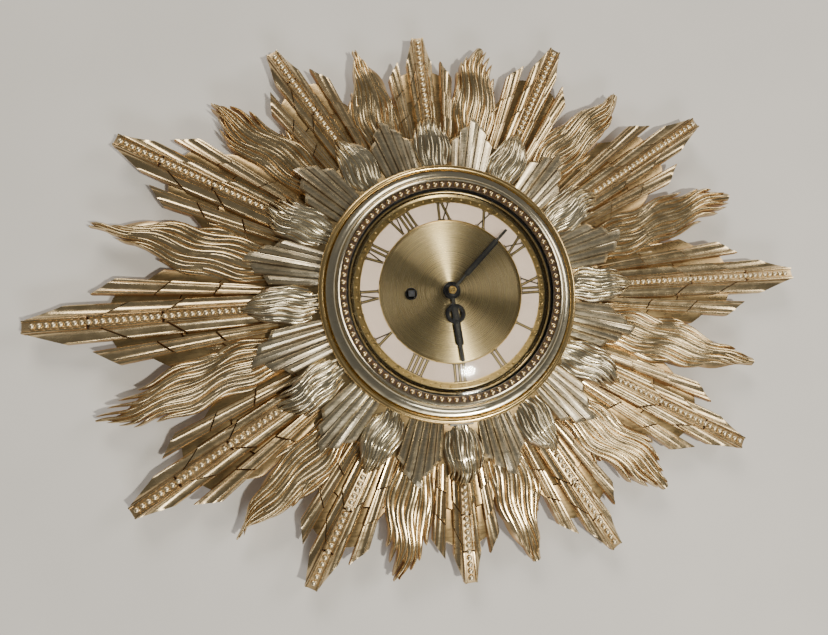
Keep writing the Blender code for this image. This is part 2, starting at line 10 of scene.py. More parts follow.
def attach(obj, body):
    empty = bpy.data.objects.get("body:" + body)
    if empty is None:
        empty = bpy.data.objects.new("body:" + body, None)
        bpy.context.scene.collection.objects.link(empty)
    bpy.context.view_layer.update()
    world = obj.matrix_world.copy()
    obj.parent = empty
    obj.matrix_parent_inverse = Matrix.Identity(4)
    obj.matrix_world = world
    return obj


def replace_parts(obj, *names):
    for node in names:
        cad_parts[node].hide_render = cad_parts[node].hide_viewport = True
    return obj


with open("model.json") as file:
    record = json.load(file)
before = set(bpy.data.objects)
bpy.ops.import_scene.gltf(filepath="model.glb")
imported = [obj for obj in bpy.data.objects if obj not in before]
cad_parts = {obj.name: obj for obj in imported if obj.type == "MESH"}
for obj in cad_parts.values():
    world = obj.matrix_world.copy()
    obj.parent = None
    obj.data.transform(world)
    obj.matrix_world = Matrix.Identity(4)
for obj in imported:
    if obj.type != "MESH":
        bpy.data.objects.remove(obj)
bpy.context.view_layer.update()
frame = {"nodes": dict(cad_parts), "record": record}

mm = 0.001
mergeGap = 0.001 * mm          # points closer than this are one point
rng = random.Random(11)


# Everything is drawn face up in millimetres: x to III, y to XII, height off the wall.

def upright(x, y, height):
    return (x * mm, -height * mm, y * mm)


def around(radius, heading):
    # heading is in degrees clockwise from XII
    angle = math.radians(heading)
    return radius * math.sin(angle), radius * math.cos(angle)


def mix(a, b, share):
    return a + (b - a) * share


def smooth(low, high, value):
    share = min(max((value - low) / (high - low), 0.0), 1.0)
    return share * share * (3 - 2 * share)


class Builder:
    # gathers closed shells, then becomes one object

    def __init__(self):
        self.points = []
        self.faces = []
        self.recess = []

    def loft(self, rings, recess=None):
        # each ring is a closed loop of (x, y, height); the ends are capped
        first = len(self.points)
        width = len(rings[0])
        for row, ring in enumerate(rings):
            for column, point in enumerate(ring):
                self.points.append(upright(*point))
                self.recess.append(recess[row][column] if recess else 0.0)
        for row in range(len(rings) - 1):
            low = first + row * width
            for column in range(width):
                after = (column + 1) % width
                self.faces.append((low + column, low + after, low + width + after, low + width + column))
        self.faces.append(tuple(first + i for i in reversed(range(width))))
        last = first + (len(rings) - 1) * width
        self.faces.append(tuple(last + i for i in range(width)))

    def slab(self, loop, low, high):
        self.loft([[(x, y, low) for x, y in loop], [(x, y, high) for x, y in loop]])

    def finish(self, name, material, creaseDegrees, slot, body="case", rear=None):
        mesh = bpy.data.meshes.new(name)
        mesh.from_pydata(self.points, [], self.faces)
        # recess places the wash in the hollows; values above 1 paint shade into the cracks between lengths
        mesh.attributes.new("recess", "FLOAT", "POINT").data.foreach_set("value", self.recess)
        faceOutward(mesh)
        return complete(name, mesh, material, creaseDegrees, body, rear)


def faceOutward(mesh, merge=False):
    shell = bmesh.new()
    shell.from_mesh(mesh)
    if merge:
        bmesh.ops.remove_doubles(shell, verts=shell.verts, dist=mergeGap)
        bmesh.ops.dissolve_degenerate(shell, edges=shell.edges, dist=mergeGap / 2)
    bmesh.ops.recalc_face_normals(shell, faces=shell.faces)
    shell.to_mesh(mesh)
    shell.free()


def complete(name, mesh, material, creaseDegrees, body, rear=None):
    mesh.shade_smooth()
    mesh.set_sharp_from_angle(angle=math.radians(creaseDegrees))
    mesh.materials.append(material)
    if rear is not None:
        # faces that look at the wall take the rear's own paint
        mesh.materials.append(rear)
        for face in mesh.polygons:
            if face.normal.y > 0.8:
                face.material_index = 1
    return dress(name, mesh, body)


def dress(name, mesh, body):
    piece = bpy.data.objects.new(name, mesh)
    bpy.context.scene.collection.objects.link(piece)
    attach(piece, body)
    return piece


def circlePoint(centre, radius, share):
    # share is the part of a full turn from the x axis
    angle = 2 * math.pi * share
    return centre[0] + radius * math.cos(angle), centre[1] + radius * math.sin(angle)


def drill(mesh, centre, radius, low, high, sides=40):
    # a round hole right through a sheet
    bit = Builder()
    bit.slab([circlePoint(centre, radius, i / sides) for i in range(sides)], low, high)
    bitMesh = bpy.data.meshes.new("drillBit")
    bitMesh.from_pydata(bit.points, [], bit.faces)
    faceOutward(bitMesh)
    things = [bpy.data.objects.new("drillHolder", mesh), bpy.data.objects.new("drillBit", bitMesh)]
    for thing in things:
        bpy.context.scene.collection.objects.link(thing)
    modifier = things[0].modifiers.new("drill", "BOOLEAN")
    modifier.operation = "DIFFERENCE"
    modifier.solver = "EXACT"
    modifier.object = things[1]
    drilled = bpy.data.meshes.new_from_object(things[0].evaluated_get(bpy.context.evaluated_depsgraph_get()))
    for thing in things:
        bpy.data.objects.remove(thing)
    return drilled


def turnedMesh(name, profile, steps, material, body, creaseDegrees=40, centre=(0.0, 0.0), rear=None,
               hole=None):
    # a closed profile of (radius, height) turned round a centre
    mesh = bpy.data.meshes.new(name)
    width = len(profile)
    points = [upright(*circlePoint(centre, r, step / steps), h) for step in range(steps) for r, h in profile]
    faces = []
    for row in range(steps):
        after = (row + 1) % steps
        for column in range(width):
            nextColumn = (column + 1) % width
            faces.append((row * width + column, row * width + nextColumn,
                          after * width + nextColumn, after * width + column))
    mesh.from_pydata(points, [], faces)
    faceOutward(mesh, merge=True)
    if hole:
        mesh = drill(mesh, *hole)
    return complete(name, mesh, material, creaseDegrees, body, rear)


def newGroup(name, inputs, outputs):
    group = bpy.data.node_groups.new(name, "ShaderNodeTree")
    for label, kind, value in inputs:
        socket = group.interface.new_socket(label, in_out="INPUT", socket_type=kind)
        if value is not None:
            socket.default_value = value
    for label, kind in outputs:
        group.interface.new_socket(label, in_out="OUTPUT", socket_type=kind)
    nodes = group.nodes
    return group, nodes, group.links, nodes.new("NodeGroupInput"), nodes.new("NodeGroupOutput")


def feed(links, socket, value):
    # a number sets the socket, another node's output is linked to it
    if isinstance(value, (int, float)):
        socket.default_value = value
    else:
        links.new(value, socket)


def mathNode(nodes, links, operation, a, b=None, clamp=False):
    node = nodes.new("ShaderNodeMath")
    node.operation = operation
    node.use_clamp = clamp
    for socket, value in zip(node.inputs, (a, b)):
        if isinstance(value, (int, float)):
            socket.default_value = value
        elif value is not None:
            links.new(value, socket)
    return node.outputs[0]


def remap(nodes, links, value, fromLow, fromHigh, toLow, toHigh):
    node = nodes.new("ShaderNodeMapRange")
    links.new(value, node.inputs["Value"])
    numbers = {"From Min": fromLow, "From Max": fromHigh, "To Min": toLow, "To Max": toHigh}
    for label, number in numbers.items():
        node.inputs[label].default_value = number
    return node.outputs[0]


def noise(nodes, links, scale, detail=3.0, roughness=0.55, stretch=None):
    coords = nodes.new("ShaderNodeTexCoord")
    vector = coords.outputs["Object"]
    if stretch:
        mapping = nodes.new("ShaderNodeMapping")
        mapping.inputs["Scale"].default_value = stretch
        links.new(vector, mapping.inputs["Vector"])
        vector = mapping.outputs[0]
    node = nodes.new("ShaderNodeTexNoise")
    links.new(vector, node.inputs["Vector"])
    feed(links, node.inputs["Scale"], scale)
    node.inputs["Detail"].default_value = detail
    node.inputs["Roughness"].default_value = roughness
    return node.outputs["Fac"]


def colourMix(nodes, links, factor, first, second, blend="MIX"):
    node = nodes.new("ShaderNodeMix")
    node.data_type = "RGBA"
    node.blend_type = blend
    feed(links, node.inputs["Factor"], factor)
    for label, value in (("A", first), ("B", second)):
        socket = [s for s in node.inputs if s.name == label and s.type == "RGBA"][0]
        if isinstance(value, tuple):
            socket.default_value = (*value, 1.0)
        else:
            links.new(value, socket)
    return [s for s in node.outputs if s.type == "RGBA"][0]


def makeLeafGroup():
    # laid metal leaf: blotchy tone, brush marks, a dark wash lying in the hollows, and painted shade, near
    # black, in the cracks between one length and the next
    group, nodes, links, source, sink = newGroup("layingLeaf", [
        ("Leaf", "NodeSocketColor", (0.6, 0.45, 0.22, 1.0)),
        ("Dull Leaf", "NodeSocketColor", (0.35, 0.25, 0.12, 1.0)),
        ("Wash", "NodeSocketColor", (0.25, 0.09, 0.02, 1.0)),
        ("Blotch Scale", "NodeSocketFloat", 45.0),
        ("Hollow Reach", "NodeSocketFloat", 0.006),
        ("Wash Strength", "NodeSocketFloat", 1.0),
    ], [
        ("Colour", "NodeSocketColor"),
        ("Wash Mask", "NodeSocketFloat"),
        ("Height", "NodeSocketFloat"),
    ])
    occlusion = nodes.new("ShaderNodeAmbientOcclusion")
    occlusion.samples = 12
    occlusion.only_local = True
    links.new(source.outputs["Hollow Reach"], occlusion.inputs["Distance"])
    attribute = nodes.new("ShaderNodeAttribute")
    attribute.attribute_name = "recess"
    buried = remap(nodes, links, occlusion.outputs["AO"], 0.18, 0.62, 1.0, 0.0)
    hollow = mathNode(nodes, links, "MAXIMUM", buried, attribute.outputs["Fac"])
    blotch = noise(nodes, links, source.outputs["Blotch Scale"], 4.0, 0.6)
    fine = noise(nodes, links, 420.0, 3.0, 0.7)
    broken = remap(nodes, links, blotch, 0.3, 0.7, 0.65, 1.2)
    mask = mathNode(nodes, links, "MULTIPLY", hollow, broken)
    mask = mathNode(nodes, links, "MULTIPLY", mask, source.outputs["Wash Strength"], clamp=True)
    tone = remap(nodes, links, blotch, 0.35, 0.68, 0.0, 1.0)
    leaf = colourMix(nodes, links, tone, source.outputs["Leaf"], source.outputs["Dull Leaf"])
    washed = colourMix(nodes, links, mask, leaf, source.outputs["Wash"])
    # painted shade: where the recess value passes 1 the crack turns near black, standing in for the shadow in
    # it
    crackShade = remap(nodes, links, attribute.outputs["Fac"], 1.1, 2.0, 0.0, 1.0)
    colour = colourMix(nodes, links, crackShade, washed, (0.035, 0.014, 0.005))
    links.new(colour, sink.inputs["Colour"])
    links.new(mask, sink.inputs["Wash Mask"])
    grain = mathNode(nodes, links, "ADD", mathNode(nodes, links, "MULTIPLY", fine, 0.4), blotch)
    links.new(grain, sink.inputs["Height"])
    return group


def makeScuffGroup():
    # handling marks: fine noise with a few stretched scratches
    group, nodes, links, source, sink = newGroup("scuffs", [
        ("Scale", "NodeSocketFloat", 90.0),
        ("Amount", "NodeSocketFloat", 0.15),
        ("Base Roughness", "NodeSocketFloat", 0.3),
    ], [("Roughness", "NodeSocketFloat"), ("Height", "NodeSocketFloat"), ("Mask", "NodeSocketFloat")])
    cloud = noise(nodes, links, source.outputs["Scale"], 4.0, 0.65)
    lines = noise(nodes, links, 60.0, 2.0, 0.5, (14.0, 1.0, 1.5))
    both = mathNode(nodes, links, "ADD", mathNode(nodes, links, "MULTIPLY", cloud, 0.6),
                    mathNode(nodes, links, "MULTIPLY", lines, 0.4))
    centred = mathNode(nodes, links, "SUBTRACT", both, 0.5)
    swing = mathNode(nodes, links, "MULTIPLY", centred, source.outputs["Amount"])
    swing = mathNode(nodes, links, "MULTIPLY", swing, 4.0)
    links.new(mathNode(nodes, links, "ADD", source.outputs["Base Roughness"], swing, clamp=True),
              sink.inputs["Roughness"])
    links.new(both, sink.inputs["Height"])
    links.new(remap(nodes, links, both, 0.5, 0.7, 0.0, 1.0), sink.inputs["Mask"])
    return group


leafGroup = makeLeafGroup()
scuffGroup = makeScuffGroup()


def newMaterial(name, metallic=0.0, roughness=0.5):
    material = bpy.data.materials.new(name)
    material.use_nodes = True
    tree = material.node_tree
    shader = tree.nodes["Principled BSDF"]
    shader.inputs["Metallic"].default_value = metallic
    shader.inputs["Roughness"].default_value = roughness
    return material, tree.nodes, tree.links, shader


def placeGroup(nodes, group, **values):
    node = nodes.new("ShaderNodeGroup")
    node.node_tree = group
    for label, value in values.items():
        node.inputs[label.replace("_", " ")].default_value = value
    return node


def bump(nodes, links, shader, height, strength, distance):
    node = nodes.new("ShaderNodeBump")
    node.inputs["Strength"].default_value = strength
    node.inputs["Distance"].default_value = distance
    links.new(height, node.inputs["Height"])
    links.new(node.outputs[0], shader.inputs["Normal"])


def leafMaterial(name, leaf, dull, wash, strength, reach, roughness, blotchScale=45.0):
    material, nodes, links, shader = newMaterial(name)
    laid = placeGroup(nodes, leafGroup, Leaf=(*leaf, 1), Dull_Leaf=(*dull, 1), Wash=(*wash, 1),
                      Wash_Strength=strength, Hollow_Reach=reach, Blotch_Scale=blotchScale)
    links.new(laid.outputs["Colour"], shader.inputs["Base Color"])
    links.new(remap(nodes, links, laid.outputs["Wash Mask"], 0.0, 1.0, 0.98, 0.55), shader.inputs["Metallic"])
    scuff = placeGroup(nodes, scuffGroup, Scale=120.0, Amount=0.12, Base_Roughness=roughness)
    washed = mathNode(nodes, links, "MULTIPLY", laid.outputs["Wash Mask"], 0.28)
    links.new(mathNode(nodes, links, "ADD", scuff.outputs["Roughness"], washed, clamp=True),
              shader.inputs["Roughness"])
    bump(nodes, links, shader, laid.outputs["Height"], 0.20, 0.0005)
    return material


finishes = {
    "goldLeaf": (0.78, 0.62, 0.37),
    "goldDull": (0.52, 0.40, 0.22),
    "amberWash": (0.31, 0.145, 0.045),
    "amberDeep": (0.43, 0.315, 0.155),
    "amberShade": (0.30, 0.20, 0.09),
    "paleLeaf": (0.74, 0.66, 0.47),
    "paleDull": (0.48, 0.41, 0.27),
    "darkWash": (0.20, 0.10, 0.035),
}

goldLeaf = leafMaterial("champagneLeaf", finishes["goldLeaf"], finishes["goldDull"], finishes["amberWash"],
                        0.85, 0.0040, 0.23)
amberLeaf = leafMaterial("amberWashedLeaf", finishes["amberDeep"], finishes["amberShade"],
                         finishes["amberWash"], 1.1, 0.006, 0.28)
paleLeaf = leafMaterial("silverGoldLeaf", finishes["paleLeaf"], finishes["paleDull"], finishes["darkWash"],
                        0.95, 0.0040, 0.22)


def scuffedMaterial(name, colour, worn, roughness, metallic, specular, scale, amount, depth):
    material, nodes, links, shader = newMaterial(name, metallic)
    shader.inputs["Specular IOR Level"].default_value = specular
    scuff = placeGroup(nodes, scuffGroup, Scale=scale, Amount=amount, Base_Roughness=roughness)
    links.new(colourMix(nodes, links, scuff.outputs["Mask"], colour, worn), shader.inputs["Base Color"])
    links.new(scuff.outputs["Roughness"], shader.inputs["Roughness"])
    bump(nodes, links, shader, scuff.outputs["Height"], depth, 0.0003)
    return material


def plainMetal(name, colour, worn, roughness):
    return scuffedMaterial(name, colour, worn, roughness, 1.0, 0.5, 160.0, 0.10, 0.12)


def paintedMaterial(name, colour, worn, roughness, specular=0.5):
    return scuffedMaterial(name, colour, worn, roughness, 0.0, specular, 140.0, 0.16, 0.18)


bezelSilver = plainMetal("polishedSilverGold", (0.72, 0.65, 0.48), (0.54, 0.47, 0.32), 0.20)
bezelGold = plainMetal("warmGoldFillet", (0.74, 0.54, 0.25), (0.50, 0.32, 0.11), 0.20)
beadGold = plainMetal("beadGold", (0.70, 0.54, 0.31), (0.46, 0.33, 0.15), 0.22)
rayBeadGold = plainMetal("rayBeadGold", (0.84, 0.71, 0.48), (0.62, 0.50, 0.30), 0.36)
trackBrass = plainMetal("trackBrass", (0.34, 0.24, 0.095), (0.22, 0.15, 0.055), 0.3)
agedBrass = plainMetal("agedBrass", (0.64, 0.45, 0.17), (0.38, 0.24, 0.08), 0.30)
brightSteel = plainMetal("oiledSteel", (0.45, 0.45, 0.46), (0.25, 0.24, 0.23), 0.30)
# painted shade: steel darkened to the shade inside the winding hole
arborShadeSteel = plainMetal("arborShadeSteel", (0.10, 0.10, 0.11), (0.05, 0.05, 0.05), 0.34)
shadedBrass = plainMetal("shadedBrass", (0.10, 0.075, 0.035), (0.05, 0.035, 0.015), 0.24)


def makeSpunBrass():
    # a lathe's fine circular lines, drawn from the distance to the dial's centre
    material, nodes, links, shader = newMaterial("spunBrass", 1.0, 0.34)
    coords = nodes.new("ShaderNodeTexCoord")
    split = nodes.new("ShaderNodeSeparateXYZ")
    links.new(coords.outputs["Object"], split.inputs[0])
    squares = []
    for axis in ("X", "Z"):
        squares.append(mathNode(nodes, links, "MULTIPLY", split.outputs[axis], split.outputs[axis]))
    radius = mathNode(nodes, links, "SQRT", mathNode(nodes, links, "ADD", *squares))
    rings = nodes.new("ShaderNodeTexNoise")
    rings.noise_dimensions = "1D"
    links.new(radius, rings.inputs["W"])
    rings.inputs["Scale"].default_value = 2600.0
    rings.inputs["Detail"].default_value = 2.0
    cloud = noise(nodes, links, 60.0, 4.0)
    tone = colourMix(nodes, links, remap(nodes, links, cloud, 0.35, 0.7, 0.0, 1.0), (0.53, 0.42, 0.225),
                     (0.45, 0.35, 0.175))
    links.new(tone, shader.inputs["Base Color"])
    links.new(remap(nodes, links, rings.outputs["Fac"], 0.3, 0.7, 0.23, 0.33), shader.inputs["Roughness"])
    shader.inputs["Anisotropic"].default_value = 0.94
    shader.inputs["Anisotropic Rotation"].default_value = 0.25
    tangent = nodes.new("ShaderNodeTangent")
    tangent.direction_type = "RADIAL"
    tangent.axis = "Y"
    links.new(tangent.outputs[0], shader.inputs["Tangent"])
    bump(nodes, links, shader, rings.outputs["Fac"], 0.10, 0.0001)
    return material


def makeEnamel():
    material, nodes, links, shader = newMaterial("agedEnamel", 0.0, 0.4)
    cloud = noise(nodes, links, 38.0, 5.0, 0.6)
    speck = noise(nodes, links, 700.0, 2.0, 0.5)
    base = colourMix(nodes, links, remap(nodes, links, cloud, 0.3, 0.7, 0.0, 1.0), (0.60, 0.475, 0.385),
                     (0.52, 0.40, 0.32))
    colour = colourMix(nodes, links, remap(nodes, links, speck, 0.68, 0.8, 0.0, 0.5), base, (0.36, 0.27, 0.2))
    links.new(colour, shader.inputs["Base Color"])
    links.new(remap(nodes, links, cloud, 0.3, 0.7, 0.34, 0.5), shader.inputs["Roughness"])
    bump(nodes, links, shader, cloud, 0.08, 0.0003)
    return material


def seeThrough(nodes, links, shader, where):
    # clear wherever the given value is 1
    clear = nodes.new("ShaderNodeBsdfTransparent")
    choose = nodes.new("ShaderNodeMixShader")
    links.new(where, choose.inputs[0])
    links.new(shader.outputs[0], choose.inputs[1])
    links.new(clear.outputs[0], choose.inputs[2])
    links.new(choose.outputs[0], nodes["Material Output"].inputs["Surface"])


def makeGlass():
    material, nodes, links, shader = newMaterial("domedGlass", 0.0, 0.02)
    shader.inputs["Transmission Weight"].default_value = 1.0
    shader.inputs["IOR"].default_value = 1.03
    shader.inputs["Coat Weight"].default_value = 0.22
    shader.inputs["Coat Roughness"].default_value = 0.05
    haze = noise(nodes, links, 50.0, 3.0)
    links.new(remap(nodes, links, haze, 0.4, 0.7, 0.0, 0.03), shader.inputs["Roughness"])
    tint = colourMix(nodes, links, haze, (0.98, 0.99, 0.98), (0.96, 0.97, 0.96))
    links.new(tint, shader.inputs["Base Color"])
    seeThrough(nodes, links, shader, nodes.new("ShaderNodeLightPath").outputs["Is Shadow Ray"])
    return material


spunBrass = makeSpunBrass()
enamel = makeEnamel()
blackPaint = paintedMaterial("handBlack", (0.004, 0.004, 0.005), (0.010, 0.0095, 0.009), 0.45, 0.16)
handGrey = paintedMaterial("handGroove", (0.020, 0.019, 0.016), (0.034, 0.032, 0.027), 0.40, 0.2)
numeralInk = paintedMaterial("numeralBronze", (0.028, 0.021, 0.009), (0.055, 0.040, 0.016), 0.4)
numeralGold = plainMetal("numeralGold", (0.42, 0.31, 0.12), (0.30, 0.21, 0.08), 0.34)
rearPaint = paintedMaterial("rearBrown", (0.045, 0.034, 0.025), (0.08, 0.06, 0.045), 0.5)
burstBack = paintedMaterial("burstBack", (0.125, 0.086, 0.052), (0.18, 0.132, 0.085), 0.62)
# painted shade: dark brown for the seat under the bezel beads, standing in for the shade between them
beadGapShade = paintedMaterial("beadGapShadeBrown", (0.05, 0.024, 0.010), (0.12, 0.055, 0.02), 0.6)
clearGlass = makeGlass()
print("materials ready")


def makeStudTree():
    tree = bpy.data.node_groups.new("studRow", "GeometryNodeTree")
    tree.interface.new_socket("Geometry", in_out="INPUT", socket_type="NodeSocketGeometry")
    for label, kind, value in (("Stud Radius", "NodeSocketFloat", 0.002), ("Squash", "NodeSocketFloat", 0.7),
                               ("Size Variation", "NodeSocketFloat", 0.05), ("Seed", "NodeSocketInt", 3)):
        socket = tree.interface.new_socket(label, in_out="INPUT", socket_type=kind)
        socket.default_value = value
    tree.interface.new_socket("Finish", in_out="INPUT", socket_type="NodeSocketMaterial")
    tree.interface.new_socket("Geometry", in_out="OUTPUT", socket_type="NodeSocketGeometry")
    nodes, links = tree.nodes, tree.links
    source, sink = nodes.new("NodeGroupInput"), nodes.new("NodeGroupOutput")
    places = nodes.new("GeometryNodeMeshToPoints")
    links.new(source.outputs["Geometry"], places.inputs["Mesh"])
    ball = nodes.new("GeometryNodeMeshIcoSphere")
    ball.inputs["Subdivisions"].default_value = 2
    links.new(source.outputs["Stud Radius"], ball.inputs["Radius"])
    size = nodes.new("ShaderNodeCombineXYZ")
    size.inputs["X"].default_value = 1.0
    size.inputs["Z"].default_value = 1.0
    links.new(source.outputs["Squash"], size.inputs["Y"])
    spread = nodes.new("FunctionNodeRandomValue")
    spread.data_type = "FLOAT"
    low = nodes.new("ShaderNodeMath")
    low.operation = "SUBTRACT"
    low.inputs[0].default_value = 1.0
    links.new(source.outputs["Size Variation"], low.inputs[1])
    floats = [socket for socket in spread.inputs if socket.type == "VALUE"]
    links.new(low.outputs[0], floats[0])
    floats[1].default_value = 1.0
    links.new(source.outputs["Seed"], spread.inputs["Seed"])
    grow = nodes.new("ShaderNodeVectorMath")
    grow.operation = "SCALE"
    links.new(size.outputs[0], grow.inputs[0])
    links.new([s for s in spread.outputs if s.type == "VALUE"][0], grow.inputs["Scale"])
    spawn = nodes.new("GeometryNodeInstanceOnPoints")
    links.new(places.outputs[0], spawn.inputs["Points"])
    links.new(ball.outputs["Mesh"], spawn.inputs["Instance"])
    links.new(grow.outputs[0], spawn.inputs["Scale"])
    solid = nodes.new("GeometryNodeRealizeInstances")
    links.new(spawn.outputs[0], solid.inputs[0])
    finish = nodes.new("GeometryNodeSetMaterial")
    links.new(solid.outputs[0], finish.inputs["Geometry"])
    links.new(source.outputs["Finish"], finish.inputs["Material"])
    links.new(finish.outputs[0], sink.inputs["Geometry"])
    return tree


studTree = makeStudTree()


def studs(name, places, values, material, body):
    # places are (x, y, height) in millimetres; values are the tree's named inputs
    seedMesh = bpy.data.meshes.new(name + "Places")
    seedMesh.from_pydata([upright(*place) for place in places], [], [])
    holder = bpy.data.objects.new(name + "Places", seedMesh)
    bpy.context.scene.collection.objects.link(holder)
    modifier = holder.modifiers.new("studs", "NODES")
    modifier.node_group = studTree
    items = studTree.interface.items_tree
    identifiers = {item.name: item.identifier for item in items if item.in_out == "INPUT"}
    for label, value in dict(values, Finish=material).items():
        modifier[identifiers[label]] = value
    evaluated = holder.evaluated_get(bpy.context.evaluated_depsgraph_get())
    mesh = bpy.data.meshes.new_from_object(evaluated)
    mesh.name = name
    bpy.data.objects.remove(holder)
    mesh.shade_smooth()
    return dress(name, mesh, body)


studio = {
    "lens": 28.8,
    "place": (0.0668, -0.4728, -0.0985),
    "aim": (0.0127, -0.0130, -0.0223),
    "up": (-0.9889, -0.1287, 0.0741),
    "floorColour": (0.80, 0.78, 0.75),
    "floorReach": 6.0,
    "floorDepth": 0.0015,
    "worldColour": (0.70, 0.68, 0.64, 1.0),
    "world": 0.18,
    "lightDistance": 1.6,      # moves every light out and keeps its apparent size and strength
    # each light: place, size, energy, colour and shape, all looking at the clock's middle
    "lights": {
        "keyLight": ((-1.45, -0.95, -0.35), (0.5, 0.9), 14.0, (1.0, 0.93, 0.83), "RECTANGLE"),
        "farLight": ((-0.45, -0.85, 1.45), (0.9, 0.4), 8.2, (1.0, 0.93, 0.83), "RECTANGLE"),
        "lowLight": ((1.35, -0.8, 0.1), (0.3, 0.9), 7.8, (1.0, 0.97, 0.93), "RECTANGLE"),
        "headLight": ((0.31, -0.98, 0.27), (0.050, 0.085), 7.0, (1.0, 0.95, 0.82), "ELLIPSE"),
        "backLight": ((-1.1, 1.5, 0.9), (1.2, 1.2), 45.0, (1.0, 1.0, 1.0), "RECTANGLE"),
    },
}


def lookFrom(holder, place, aim, up):
    back = (Vector(place) - Vector(aim)).normalized()
    right = Vector(up).cross(back).normalized()
    top = back.cross(right)
    turn = Matrix((right, top, back)).transposed()
    holder.matrix_world = Matrix.Translation(place) @ turn.to_4x4()


def addCamera():
    data = bpy.data.cameras.new("studioCamera")
    data.sensor_width = 36.0
    data.lens = studio["lens"]
    data.clip_start = 0.01
    data.clip_end = 50.0
    camera = bpy.data.objects.new("studioCamera", data)
    bpy.context.scene.collection.objects.link(camera)
    lookFrom(camera, studio["place"], studio["aim"], studio["up"])
    bpy.context.scene.camera = camera


def addLight(name, place, size, energy, colour, shape):
    data = bpy.data.lights.new(name, "AREA")
    far = studio["lightDistance"]
    data.shape = shape
    data.size, data.size_y = size[0] * far, size[1] * far
    data.energy = energy * far * far
    data.color = colour
    light = bpy.data.objects.new(name, data)
    bpy.context.scene.collection.objects.link(light)
    lookFrom(light, [far * value for value in place], (0.0, 0.0, 0.0), (0.0, 0.0, 1.0))


def addFloor():
    # the pale floor the clock lies on; seen and lit only from the clock's side
    material, nodes, links, shader = newMaterial("paleFloor", 0.0, 0.85)
    cloud = noise(nodes, links, 9.0, 3.0)
    colour = colourMix(nodes, links, remap(nodes, links, cloud, 0.3, 0.7, 0.0, 1.0), studio["floorColour"],
                       tuple(0.94 * channel for channel in studio["floorColour"]))
    links.new(colour, shader.inputs["Base Color"])
    bump(nodes, links, shader, noise(nodes, links, 300.0), 0.05, 0.0005)
    side = nodes.new("ShaderNodeNewGeometry")
    path = nodes.new("ShaderNodeLightPath")
    seeThrough(nodes, links, shader,
               mathNode(nodes, links, "MAXIMUM", side.outputs["Backfacing"], path.outputs["Is Shadow Ray"]))
    mesh = bpy.data.meshes.new("paleFloor")
    reach, depth = studio["floorReach"], studio["floorDepth"]
    corners = [(x * reach, depth, z * reach) for x, z in ((-1, -1), (1, -1), (1, 1), (-1, 1))]
    mesh.from_pydata(corners, [], [(0, 1, 2, 3)])
    mesh.materials.append(material)
    floor = bpy.data.objects.new("paleFloor", mesh)
    bpy.context.scene.collection.objects.link(floor)


def addStudio():
    world = bpy.data.worlds.new("studioWorld")
    bpy.context.scene.world = world
    world.use_nodes = True
    background = world.node_tree.nodes["Background"]
    background.inputs["Color"].default_value = studio["worldColour"]
    background.inputs["Strength"].default_value = studio["world"]
    for name, (place, size, energy, colour, shape) in studio["lights"].items():
        addLight(name, place, size, energy, colour, shape)
    addFloor()
    print("camera and studio ready")


addCamera()
addStudio()


burst = {
    "rayLengths": (279.5, 250.4, 215.4, 197.2),   # XII, I, II, III
    "flameLengths": (248.5, 216.3, 197.1),
    "root": 108.0,
    "shingleStep": 1.0,
    "beadPitch": 4.4,
}


def rayLength(index):
    return burst["rayLengths"][(0, 1, 2, 3, 2, 1)[index % 6]]


def flameLength(index):
    return burst["flameLengths"][(0, 1, 2, 2, 1, 0)[index % 6]]


def crest(radius, length):
    # height of a ray's middle strip above the wall
    return mix(22.5, 14.6, smooth(100.0, length, radius))


def band(builder, heading, inner, outer, root, ends, height, section, joints, step, low, bevel=(0.97, 0.5)):
    # a straight strip between two edges, each a function of radius giving the side offset;
    # ends are the radii of the cut end at both edges, section lists (across, extra height, hollow),
    # joints are the cracks between one length and the next, bevel is where the end drops and by how much
    last = len(joints)
    spots = [(0.0, 0, 0.0, 0.0), (0.15, 0, 0.0, 0.0), (bevel[0], last, 0.0, 0.0), (1.0, last, -bevel[1], 0.0)]
    for order, joint in enumerate(joints):
        # each crack carries a recess value of 2, which paints it near black as painted shade
        spots += [(joint - 0.007, order, 0.15, 0.0), (joint - 0.001, order, -1.6, 2.0),
                  (joint + 0.005, order + 1, -0.9, 2.0), (joint + 0.010, order + 1, -0.1, 0.1)]
    tilts = [rng.uniform(-0.9, 0.9) for _ in range(len(joints) + 1)]
    starts = (0.0, *joints)
    rings, hollows = [], []
    for spot, segment, dip, shade in sorted(spots):
        # inner lengths lie over the outer ones, and each length lifts a little at its free end
        rise = dip - step * segment + 0.7 * step * (spot - starts[segment]) / 0.3
        ring, hollow = [], []
        for across, extra, hollowHere in section:
            radius = mix(root, mix(ends[0], ends[1], across), spot)
            x, y = localToPlan(heading, radius, mix(inner(radius), outer(radius), across))
            ring.append((x, y, height(radius, across) + extra + rise + tilts[segment] * (across - 0.5)))
            hollow.append(max(hollowHere, shade))
        for across in (1.0, 0.0):
            radius = mix(root, mix(ends[0], ends[1], across), spot)
            x, y = localToPlan(heading, radius, mix(inner(radius), outer(radius), across))
            ring.append((x, y, low))
            hollow.append(1.0)
        rings.append(ring)
        hollows.append(hollow)
    builder.loft(rings, hollows)


def localToPlan(heading, radius, side):
    # side is the offset to the clockwise side of the ray's own line
    angle = math.radians(heading)
    return (radius * math.sin(angle) + side * math.cos(angle),
            radius * math.cos(angle) - side * math.sin(angle))


